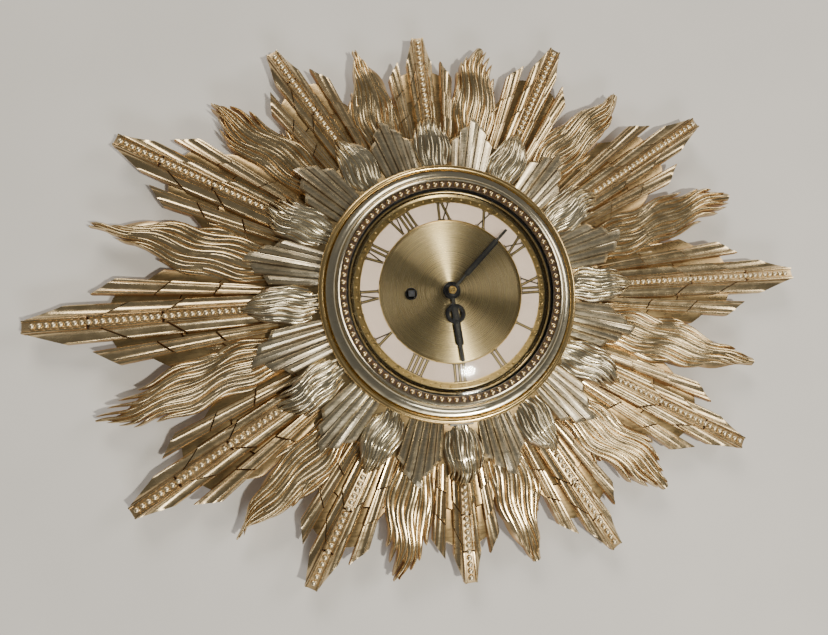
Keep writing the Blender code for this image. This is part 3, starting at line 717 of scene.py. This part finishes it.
def rayGroup(builder, amber, beads, index):
    heading = 30.0 * index
    length = rayLength(index)
    share = (length - 197.0) / 82.5                # 0 on the short rays, 1 on the long ones
    root = burst["root"]

    def outward(radius):
        return (radius - 130.0) / (length - 130.0)

    def stripHalf(radius):
        return mix(2.9, 4.6, outward(radius))

    def facetEdge(radius):
        return stripHalf(radius) + mix(mix(5.0, 7.6, share), mix(6.0, 9.2, share), outward(radius))

    sideTip = length - (17.0 + 25.0 * share)
    sideCorner = sideTip - mix(14.0, 17.0, share)
    facetCorner = length - mix(19.0, 26.0, share)
    stripJoints = (0.48, 0.76)
    facetJoints = (0.47, 0.72)

    # middle strip: two raised edges with a channel for the beads
    strip = [(0.0, -0.8, 0.5), (0.04, 0.1, 0.0), (0.13, 0.1, 0.0), (0.19, -0.9, 0.4), (0.5, -1.1, 0.3),
             (0.81, -0.9, 0.4), (0.87, 0.1, 0.0), (0.96, 0.1, 0.0), (1.0, -0.8, 0.5)]
    band(builder, heading, lambda r: -stripHalf(r), stripHalf, root, (length, length),
         lambda r, u: crest(r, length) + 0.8, strip, stripJoints, 0.5, 7.0)
    place = root + 24.0
    while place < length - 2.5:
        passed = sum(1 for joint in stripJoints if (place - root) / (length - root) > joint)
        x, y = localToPlan(heading, place, 0.0)
        beads.append((x, y, crest(place, length) + 0.65 - 0.5 * passed))
        place += burst["beadPitch"]

    lean = [(0.0, -0.2, 1.0), (0.04, 0.15, 0.2), (0.12, 0.25, 0.0), (0.16, -0.25, 0.35), (0.32, -0.75, 0.0),
            (0.50, -0.85, 0.0), (0.68, -0.6, 0.0), (0.84, 0.1, 0.0), (0.90, 0.6, 0.0), (0.96, 0.4, 0.1),
            (1.0, -0.5, 0.9)]
    flute = [(0.0, -0.5, 0.9), (0.05, 0.5, 0.1), (0.17, 0.45, 0.0), (0.21, -0.2, 0.5), (0.34, -0.55, 0.0),
             (0.48, -0.4, 0.0), (0.60, 0.2, 0.0), (0.66, 0.7, 0.0), (0.74, 0.6, 0.0), (0.78, 0.0, 0.5),
             (0.87, 0.25, 0.0), (0.95, 0.1, 0.1), (1.0, -0.7, 0.9)]
    plain = [(0.0, 0.0, 0.7), (0.12, 0.1, 0.1), (0.5, 0.5, 0.0), (0.88, 0.1, 0.1), (1.0, 0.0, 0.7)]
    for side in (-1.0, 1.0):
        band(builder, heading, lambda r: side * stripHalf(r), lambda r: side * facetEdge(r), root,
             (length - 1.0, facetCorner), lambda r, u: crest(r, length) - 0.3 - 3.2 * u, lean, facetJoints,
             burst["shingleStep"], 6.8)
        innerAngle = math.radians(mix(5.1, 4.6, share))
        outerAngle = math.radians(mix(8.3, 7.6, share))
        band(builder, heading, lambda r: side * r * innerAngle, lambda r: side * r * outerAngle, root,
             (sideTip, sideCorner), lambda r, u: crest(r, length) - 2.2 - 1.3 * u, flute, (0.38, 0.68),
             burst["shingleStep"], 6.6)
        # flat plates showing between the raised strips and beyond them
        lowTip = sideTip - mix(8.0, 12.0, share)
        band(amber, heading, lambda r: side * (facetEdge(r) - 1.0), lambda r: side * (r * innerAngle + 1.0),
             root, (lowTip, lowTip - 4.0), lambda r, u: crest(r, length) - 5.6, plain, (0.62,), 0.5, 6.5)
        farTip = sideTip - mix(32.0, 36.0, share)
        band(amber, heading, lambda r: side * (r * outerAngle - 1.0), lambda r: side * r * math.radians(9.9),
             root, (farTip, farTip - 12.0), lambda r, u: crest(r, length) - 5.2 - 0.8 * u, plain, (0.5,), 0.5,
             6.4)


def strand(builder, spine, halfWidths, crests, low, ridge, shade, split, columns=8):
    # a rounded ridge along a curved spine of (x, y) points; split cuts a fine line down its middle
    rings, hollows = [], []
    count = len(spine)
    for i, (x, y) in enumerate(spine):
        before, after = spine[max(i - 1, 0)], spine[min(i + 1, count - 1)]
        run = math.hypot(after[0] - before[0], after[1] - before[1])
        nx, ny = (after[1] - before[1]) / run, -(after[0] - before[0]) / run
        half = halfWidths[i]
        ring, hollow = [], []
        for c in range(columns + 1):
            u = 2.0 * c / columns - 1.0
            rise = ridge * (1.0 - abs(u) ** 2.0) * min(1.0, half / 1.0) - (split if c * 2 == columns else 0.0)
            ring.append((x + nx * u * half, y + ny * u * half, crests[i] - ridge + rise))
            hollow.append(shade * smooth(0.6, 1.0, abs(u)))
        for u in (0.9, -0.9):
            ring.append((x + nx * u * half, y + ny * u * half, low))
            hollow.append(1.0)
        rings.append(ring)
        hollows.append(hollow)
    builder.loft(rings, hollows)


def ladder(steps, share):
    # reads a list of (share, value) pairs like a curve
    for (s0, v0), (s1, v1) in zip(steps, steps[1:]):
        if share <= s1:
            return mix(v0, v1, (share - s0) / (s1 - s0))
    return steps[-1][1]


def cluster(builder, heading, root, tip, shape):
    # strands side by side along one swaying path, each ending at its own share of the length
    reaches = shape["reaches"]
    count = len(reaches)
    steps = shape["steps"]

    def middleAt(f, shift=0.0):
        sway = shape["sway"] * math.sin(2 * math.pi * (shape["waves"] * f + shape["phase"] + shift))
        return mix(shape["start"], shape["end"], f) + sway * (0.3 + 0.7 * f)

    for order, reach in enumerate(reaches):
        place = 2.0 * order / (count - 1) - 1.0 + rng.uniform(-0.05, 0.05)
        reach = reach * rng.uniform(0.96, 1.0)
        phase = rng.uniform(-0.03, 0.03)
        own, girth, lift = rng.uniform(-0.07, 0.07), rng.uniform(0.95, 1.35), rng.uniform(-0.45, 0.45)
        ripple = shape["ripple"] * rng.uniform(0.75, 1.25)
        spine, halves, tops = [], [], []
        for i in range(steps + 1):
            t = i / steps
            f = t * reach
            spread = ladder(shape["spread"], f)
            along = (tip - root) * f / shape["rippleLength"]
            middle = middleAt(f, phase)
            middle += ripple * math.sin(2 * math.pi * (along + 0.05 * order + own)) * min(1.0, 4 * f)
            curl = shape["curl"] * (0.35 + abs(place)) * t ** 5 * (1.0 if place >= 0 else -0.6)
            spine.append(localToPlan(heading, mix(root, tip, f), middle + place * spread + curl))
            blunt = math.sqrt(max(1.0 - t ** shape["bluntness"], 0.0))
            halves.append(max(spread, shape["tipWidth"]) / (count - 1) * girth * 1.2 * max(blunt, 0.1))
            top = ladder(shape["crest"], f) - shape["crown"] * place * place + lift
            top += 0.6 * math.sin(2 * math.pi * (along * 1.3 + 3.0 * own + 0.31 * order)) * (1.0 - t)
            tops.append(top - 0.9 * (1.0 - blunt))
        strand(builder, spine, halves, tops, shape["low"] + 0.07 * (order % 7), shape["ridge"],
               shape["shade"], 0.3 * (order % 2))
    # a plain leaf under the strands closes the gaps between them
    spine, halves, tops = [], [], []
    for i in range(steps + 1):
        f = 0.98 * i / steps
        along = (tip - root) * f / shape["rippleLength"]
        middle = middleAt(f) + 0.7 * shape["ripple"] * math.sin(2 * math.pi * along)
        spine.append(localToPlan(heading, mix(root, tip, f), middle))
        full = 0.95 - smooth(0.62, 1.0, f) * shape["leafTaper"]
        halves.append(max(ladder(shape["spread"], f) * full, 0.7))
        tops.append(ladder(shape["crest"], f) - shape["ridge"] * 0.85)
    strand(builder, spine, halves, tops, shape["low"] + 0.55, shape["crown"], 0.9, 0.0, 14)


def flame(builder, index):
    heading = 30.0 * index + 15.0
    tip = flameLength(index)
    turn = 1.0 if index % 2 else -1.0
    # broad tips towards XII, pointed towards VI
    blunt = 1.0 if math.cos(math.radians(heading)) > 0 else 0.0
    main = {
        "reaches": (0.73, 0.84, 0.91, mix(0.96, 0.97, blunt), 1.0, mix(0.985, 0.99, blunt),
                    mix(0.94, 0.96, blunt), 0.88, 0.77)[::int(turn)],
        "spread": [(0.0, 9.5), (0.25, 12.5), (0.55, 13.0), (0.8, mix(9.4, 11.5, blunt)),
                   (0.93, mix(4.8, 10.0, blunt)), (1.0, mix(1.6, 8.5, blunt))],
        "crest": [(0.0, 21.8), (0.2, 21.6), (0.45, 18.6), (0.7, 18.4), (0.9, 15.6), (1.0, 13.4)],
        "sway": 4.2 * turn, "waves": 0.85, "phase": 0.1, "start": 0.0, "end": 0.0, "curl": 3.0 * turn,
        "crown": 2.6, "bluntness": 8.0, "low": 6.3, "ridge": 1.7, "steps": 34, "ripple": 1.5,
        "rippleLength": 44.0, "shade": 0.55, "tipWidth": 8.5,
        "leafTaper": mix(0.88, 0.62, blunt),
    }
    cluster(builder, heading, 108.0, tip, main)
    for side, share, curl in ((-1.0, 0.64, 3.4), (1.0, 0.52, 4.4)):
        wing = dict(main, reaches=(0.72, 0.88, 1.0, 0.93), sway=1.8 * side * turn, phase=0.3,
                    start=7.0 * side, end=13.0 * side, curl=curl * side, crown=1.6, steps=20)
        wing["spread"] = [(0.0, 3.5), (0.5, 5.5), (1.0, 4.0)]
        wing["tipWidth"] = 3.5
        wing["low"] = 7.03
        wing["crest"] = [(0.0, 17.5), (0.4, 16.5), (0.75, 17.0), (1.0, 13.8)]
        if side < 0:
            wing["reaches"] = wing["reaches"][::-1]
        cluster(builder, heading, 108.0, mix(108.0, tip, share), wing)


def outerSunburst():
    rays, amber, flames = Builder(), Builder(), Builder()
    beads = []
    for index in range(12):
        rayGroup(rays, amber, beads, index)
        flame(flames, index)
    first = rays.finish("steppedRays", goldLeaf, 28, slot="gold_leaf", rear=burstBack)
    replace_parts(first, "outer_sunburst")
    amber.finish("amberUnderRays", amberLeaf, 28, slot="gold_leaf", rear=burstBack)
    flames.finish("curlingFlames", goldLeaf, 60, slot="gold_leaf", rear=burstBack)
    studs("rayBeads", beads, {"Stud Radius": 2.1 * mm, "Squash": 0.8, "Size Variation": 0.08, "Seed": 5},
          rayBeadGold, "case")
    hub = [(57.2, 20.0), (112.0, 20.0), (128.0, 12.5), (134.0, 11.5), (134.0, 6.0), (57.2, 6.0)]
    turnedMesh("burstHub", hub, 96, amberLeaf, "case", rear=burstBack)
    print("outer sunburst ready")


outerSunburst()


crown = {
    "root": 84.0,
    "tuftTip": 137.0,
    "barTips": (118.0, 127.0, 135.0, 130.0, 121.0),
    "stretch": 5.0,          # the crown reaches this much further at XII and VI, and less at III and IX
}


def crownReach(radius, heading):
    return radius + crown["stretch"] * math.cos(math.radians(2 * heading)) * (radius - 84.0) / 53.0


def tuft(builder, index):
    heading = 30.0 * index
    turn = 1.0 if index % 2 else -1.0
    shape = {
        "reaches": (0.78, 0.86, 0.92, 0.96, 0.99, 1.0, 0.98, 0.94, 0.89, 0.81)[::int(turn)],
        "spread": [(0.0, 9.0), (0.3, 11.0), (0.6, 11.6), (0.85, 8.5), (1.0, 6.0)],
        "crest": [(0.0, 31.0), (0.2, 31.2), (0.4, 32.6), (0.6, 33.4), (0.8, 31.4), (0.92, 28.4), (1.0, 25.0)],
        "sway": 1.7 * turn, "waves": 1.0, "phase": 0.1, "start": 0.0, "end": 0.0, "curl": 1.8 * turn,
        "crown": 3.0, "bluntness": 4.5, "low": 20.5, "ridge": 1.25, "steps": 26, "ripple": 0.8,
        "rippleLength": 25.0, "shade": 0.6, "tipWidth": 6.5,
        "leafTaper": 0.82,
    }
    cluster(builder, heading, crown["root"], crownReach(crown["tuftTip"], heading), shape)


def barCluster(builder, index):
    heading = 30.0 * index + 15.0
    tips = crown["barTips"][::1 if index % 2 else -1]
    each = 15.5 / len(tips)
    section = [(0.0, -1.2, 0.8), (0.05, -0.1, 0.0), (0.11, 0.0, 0.0), (0.15, -0.35, 0.4), (0.5, 0.55, 0.0),
               (0.85, -0.2, 0.4), (0.89, 0.05, 0.0), (0.95, -0.05, 0.0), (1.0, -1.2, 0.8)]
    half = math.radians(each) / 2
    for i, tip in enumerate(tips):
        place = i - (len(tips) - 1) / 2
        lift = 1.6 - 0.7 * abs(place)
        end = crownReach(tip, heading)
        slant = 2.2 * (1 if place < 0 else -1)
        band(builder, heading + place * each, lambda r: -r * half, lambda r: r * half, crown["root"],
             (end - slant, end + slant), lambda r, u: mix(30.9, 26.0, smooth(90.0, 134.0, r)) + lift, section,
             (), 0.0, 20.5, (0.93, 1.9))


def innerSunburst():
    tufts, bars = Builder(), Builder()
    for index in range(12):
        tuft(tufts, index)
        barCluster(bars, index)
    first = tufts.finish("curledTufts", paleLeaf, 60, slot="pale_leaf")
    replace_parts(first, "inner_sunburst")
    bars.finish("steppedBars", paleLeaf, 28, slot="pale_leaf")
    disc = [(57.2, 30.0), (90.0, 30.0), (102.0, 25.5), (116.0, 22.5), (116.0, 20.3), (57.2, 20.3)]
    turnedMesh("crownDisc", disc, 96, amberLeaf, "case")
    print("inner sunburst ready")


innerSunburst()


bezel = {"steps": 180, "beadCount": 92, "beadCircle": 72.8, "beadRadius": 1.95}


def arcPoints(centre, radius, start, stop, count):
    return [circlePoint(centre, radius, mix(start, stop, i / count) / 360) for i in range(count + 1)]


def flatRing(inner, outer, low, high):
    return [(inner, low), (inner, high), (outer, high), (outer, low)]


def bezelPieces():
    cove = arcPoints((83.6, 47.6), 6.7, 183.0, 272.0, 14)
    fillet = arcPoints((86.9, 38.9), 2.1, 165.0, -5.0, 12)
    body = [(70.5, 46.0), (74.8, 46.0), (75.2, 47.2), (75.9, 47.6), (76.6, 47.4), *cove, (84.1, 40.4)]
    body += [(84.5, 39.2), (89.0, 33.0), (75.5, 33.0), (75.5, 43.0), (72.5, 43.4), (72.5, 45.4), (70.5, 45.4)]
    ring = turnedMesh("bezelCove", body, bezel["steps"], bezelSilver, "glass_door", 35)
    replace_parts(ring, "bezel_ring")
    edge = [(84.9, 38.6)] + fillet + [(89.0, 38.2), (89.0, 33.4), (85.2, 33.4)]
    turnedMesh("bezelFillet", edge, bezel["steps"], bezelGold, "glass_door", 35)
    count = bezel["beadCount"]
    places = [(*around(bezel["beadCircle"], 360.0 * i / count), 46.6) for i in range(count)]
    bead = {"Stud Radius": bezel["beadRadius"] * mm, "Squash": 0.85, "Size Variation": 0.03, "Seed": 2}
    beads = studs("bezelBeads", places, bead, beadGold, "glass_door")
    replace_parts(beads, "bead_ring")
    # painted shade: a dark brown seat under the beads makes the gaps between them read dark
    seat = [(70.7, 46.15), (74.7, 46.15), (74.9, 45.6), (70.7, 45.6)]
    turnedMesh("beadSeat", seat, bezel["steps"], beadGapShade, "glass_door")
    # painted shade: a black ring inside the beads stands in for the shadow on the bezel's inner wall
    turnedMesh("bezelThroatShade", flatRing(69.6, 71.9, 42.75, 43.3), bezel["steps"], blackPaint, "glass_door")
    print("bezel ready")


bezelPieces()


def domedGlass():
    rise, edge, thick, outer = 7.0, 43.8, 1.5, 72.0
    front = [(70.0 * i / 24, edge + thick + rise * (1 - (i / 24) ** 2)) for i in range(25)]
    back = [(r, h - thick) for r, h in reversed(front)]
    profile = front + [(outer, front[-1][1] - 0.1), (outer, edge)] + back
    piece = turnedMesh("domedGlass", profile, 128, clearGlass, "glass_door", 50)
    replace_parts(piece, "door_glass")


domedGlass()


dial = {
    "steps": 180,
    "front": 41.0,
    "windingDrop": 27.3,
    "ringInner": 48.9,
    "ringOuter": 61.6,
    "dotCircle": 64.0,
    "dotRadius": 0.7,
    "numeralHeight": 11.6,
    "numeralWidths": {"I": 3.1, "V": 6.2, "X": 6.4},
    "lean": 2.3,
    "thickStroke": 1.9,
    "thinStroke": 1.0,
}
numerals = ("XII", "I", "II", "III", "IIII", "V", "VI", "VII", "VIII", "IX", "X", "XI")


def bar(builder, start, end, width, place, low, high):
    # a straight stroke between two points of a numeral, turned to its place
    dx, dy = end[0] - start[0], end[1] - start[1]
    run = math.hypot(dx, dy)
    nx, ny = -dy / run * width / 2, dx / run * width / 2
    loop = [(start[0] + nx, start[1] + ny), (end[0] + nx, end[1] + ny), (end[0] - nx, end[1] - ny),
            (start[0] - nx, start[1] - ny)]
    builder.slab([place(x, y) for x, y in loop], low, high)


def numeral(dark, gold, text, heading):
    widths = dial["numeralWidths"]
    half = dial["numeralHeight"] / 2
    lean = dial["lean"]
    middle = (dial["ringInner"] + dial["ringOuter"]) / 2
    low, high = dial["front"] + 0.85, dial["front"] + 1.04

    def place(x, y):
        return localToPlan(heading, middle + y, x)

    # strokes as (start, end, thick) for each letter about its own middle
    shapes = {
        "I": [((0.0, -half), (0.0, half), True)],
        "V": [((-lean, half), (0.0, -half), True), ((lean, half), (0.0, -half), False)],
        "X": [((-lean, half), (lean, -half), True), ((lean, half), (-lean, -half), False)],
    }
    left = -sum(widths[letter] for letter in text) / 2
    for letter in text:
        centre = left + widths[letter] / 2
        for start, end, thick in shapes[letter]:
            a, b = ((x + centre, y) for x, y in (start, end))
            width = dial["thickStroke"] if thick else dial["thinStroke"]
            bar(dark, a, b, width, place, low, high)
            if thick:
                bar(gold, a, b, width * 0.26, place, low + 0.02, high + 0.03)
            for x, y in (a, b):
                if letter != "V" or y > 0:
                    bar(dark, (x - 1.45, y), (x + 1.45, y), 0.65, place, low, high + 0.02)
        left += widths[letter]


def dialPieces():
    front, steps = dial["front"], dial["steps"]
    pan = [(3.3, front), (65.6, front), (68.0, front + 0.2), (68.2, front + 0.9), (69.5, front + 0.9)]
    pan += [(69.5, 32.2), (76.0, 32.2), (76.0, 31.3), (68.6, 31.3), (68.6, front - 1.0), (3.3, front - 1.0)]
    windingPlace = (0.0, -dial["windingDrop"])
    plate = turnedMesh("dialPan", pan, steps, spunBrass, "case", 30,
                       hole=(windingPlace, 3.9, front - 3.0, front + 2.0))
    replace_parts(plate, "dial_pan")
    lipArc = arcPoints((3.7, front + 0.25), 0.45, 0.0, 180.0, 8)
    grommetProfile = [(3.85, front + 0.05), *lipArc, (3.25, front - 1.2), (3.85, front - 1.2)]
    grommet = turnedMesh("windingGrommet", grommetProfile, 48, blackPaint, "case", 40,
                         windingPlace)
    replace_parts(grommet, "winding_grommet")
    rim = arcPoints((65.5, front + 2.5), 2.55, -90.0, -15.0, 8) + [(68.6, front + 1.0), (65.5, front - 0.1)]
    turnedMesh("dialRim", rim, steps, shadedBrass, "case", 30)
    lip = [(68.1, 1.8), (68.4, 2.05), (69.1, 2.05), (69.4, 1.7), (69.4, 0.9), (68.1, 0.9)]
    turnedMesh("dialLip", [(r, front + h) for r, h in lip], steps, bezelGold, "case", 30)
    notch = Builder()
    bar(notch, (-4.0, 0.0), (4.0, 0.0), 1.5, lambda x, y: localToPlan(90.0, 68.75 + y, x),
        front + 1.0, front + 2.1)
    notch.finish("lipNotch", shadedBrass, 30, slot="brass")
    ring = flatRing(dial["ringInner"], dial["ringOuter"], front + 0.2, front + 0.9)
    chapter = turnedMesh("chapterRing", ring, steps, enamel, "case", 30)
    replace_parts(chapter, "chapter_ring")
    for label, radius in (("innerHairline", dial["ringInner"]), ("outerHairline", dial["ringOuter"])):
        line = flatRing(radius - 0.25, radius + 0.25, front + 0.2, front + 1.0)
        turnedMesh(label, line, steps, agedBrass, "case", 30)
    dark, gold = Builder(), Builder()
    for index, text in enumerate(numerals):
        numeral(dark, gold, text, 30.0 * index)
    dark.finish("hourNumerals", numeralInk, 30, slot="enamel")
    gold.finish("numeralLines", numeralGold, 30, slot="enamel")
    track = flatRing(62.0, 65.3, front - 0.1, front + 0.12)
    turnedMesh("minuteTrack", track, steps, trackBrass, "case", 30)
    places = [(*around(dial["dotCircle"], 6.0 * i), front + 0.15) for i in range(60)]
    dot = {"Stud Radius": dial["dotRadius"] * mm, "Squash": 0.7, "Size Variation": 0.02, "Seed": 1}
    studs("minuteDots", places, dot, agedBrass, "case")
    print("dial ready")


dialPieces()


hands = {"minuteAngle": 317.0, "hourAngle": 86.5, "railHalf": 0.6}


def strip(start, end, side, half):
    return [(start, side - half), (end, side - half), (end, side + half), (start, side + half)]


def handPiece(name, heading, plates, rails, low, high, body, stands):
    # a flat hand with two raised rails along it, from outlines of (along, side) points
    base, raised = Builder(), Builder()
    for loop in plates:
        base.slab([localToPlan(heading, along, side) for along, side in loop], low, high)
    for start, end, side in rails:
        for sign in (-1, 1):
            loop = strip(start, end, sign * side, hands["railHalf"])
            raised.slab([localToPlan(heading, *point) for point in loop], high - 0.1, high + 0.3)
    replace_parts(base.finish(name, handGrey, 30, body=body, slot="black_paint"), stands)
    raised.finish(name + "Rails", blackPaint, 30, body=body, slot="black_paint")


def bladeOutline(neck, step, length, wide, narrow):
    side = [(neck, wide * 0.55), (neck + 1.2, wide), (step, wide), (step + 0.7, narrow),
            (length - 0.5, narrow), (length, narrow * 0.6)]
    return side + [(x, -y) for x, y in reversed(side)]


def handPieces():
    minute = [bladeOutline(14.3, 46.5, 57.5, 1.85, 0.95), strip(3.0, 15.0, 0.0, 1.0)]
    handPiece("minuteHand", hands["minuteAngle"], minute, [(15.0, 46.4, 1.25)], 44.7, 45.3, "minute_train",
              "minute_hand")
    boss = [(2.1, 45.35), (4.0, 45.35), (4.4, 45.1), (4.4, 44.7), (2.1, 44.7)]
    turnedMesh("minuteBoss", boss, 40, blackPaint, "minute_train")
    hour = [bladeOutline(9.8, 36.8, 48.2, 2.3, 1.2), strip(4.0, 11.0, 0.0, 1.2)]
    handPiece("hourHand", hands["hourAngle"], hour, [(10.4, 36.6, 1.65)], 43.2, 43.85, "hour_train",
              "hour_hand")
    eyePlace = localToPlan(hands["hourAngle"], 15.9, 0.0)
    eye = [(4.1, 43.9), (4.5, 44.05), (6.3, 44.05), (6.8, 43.8), (6.8, 43.25), (4.1, 43.25)]
    turnedMesh("hourEye", eye, 48, blackPaint, "hour_train", 30, eyePlace)
    boss = [(3.0, 44.1), (5.4, 44.1), (5.9, 43.8), (5.9, 43.2), (3.0, 43.2)]
    turnedMesh("hourBoss", boss, 48, blackPaint, "hour_train", 30)
    nutProfile = [(1.4, 46.9), (2.0, 46.9), (2.5, 46.5), (2.7, 46.0), (2.7, 45.6), (1.4, 45.6)]
    nut = turnedMesh("handNut", nutProfile, 32, agedBrass, "minute_train", 30)
    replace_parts(nut, "hand_nut")
    print("hands ready")


handPieces()


def finishFrame():
    bySlot = {"brass": agedBrass, "steel": brightSteel, "painted_back": rearPaint, "black_paint": blackPaint}
    for entry in frame["record"]["subparts"]:
        node = frame["nodes"].get(entry["node"])
        finish = bySlot.get(entry["material_slot"])
        if node is None or finish is None:
            continue
        if not node.material_slots:
            node.data.materials.append(finish)
        # painted shade: the arbor takes near-black steel, standing in for the shade in the winding hole
        if entry["node"] == "winding_arbor":
            finish = arborShadeSteel
        for materialSlot in node.material_slots:
            materialSlot.material = finish
    print("frame pieces finished")


finishFrame()
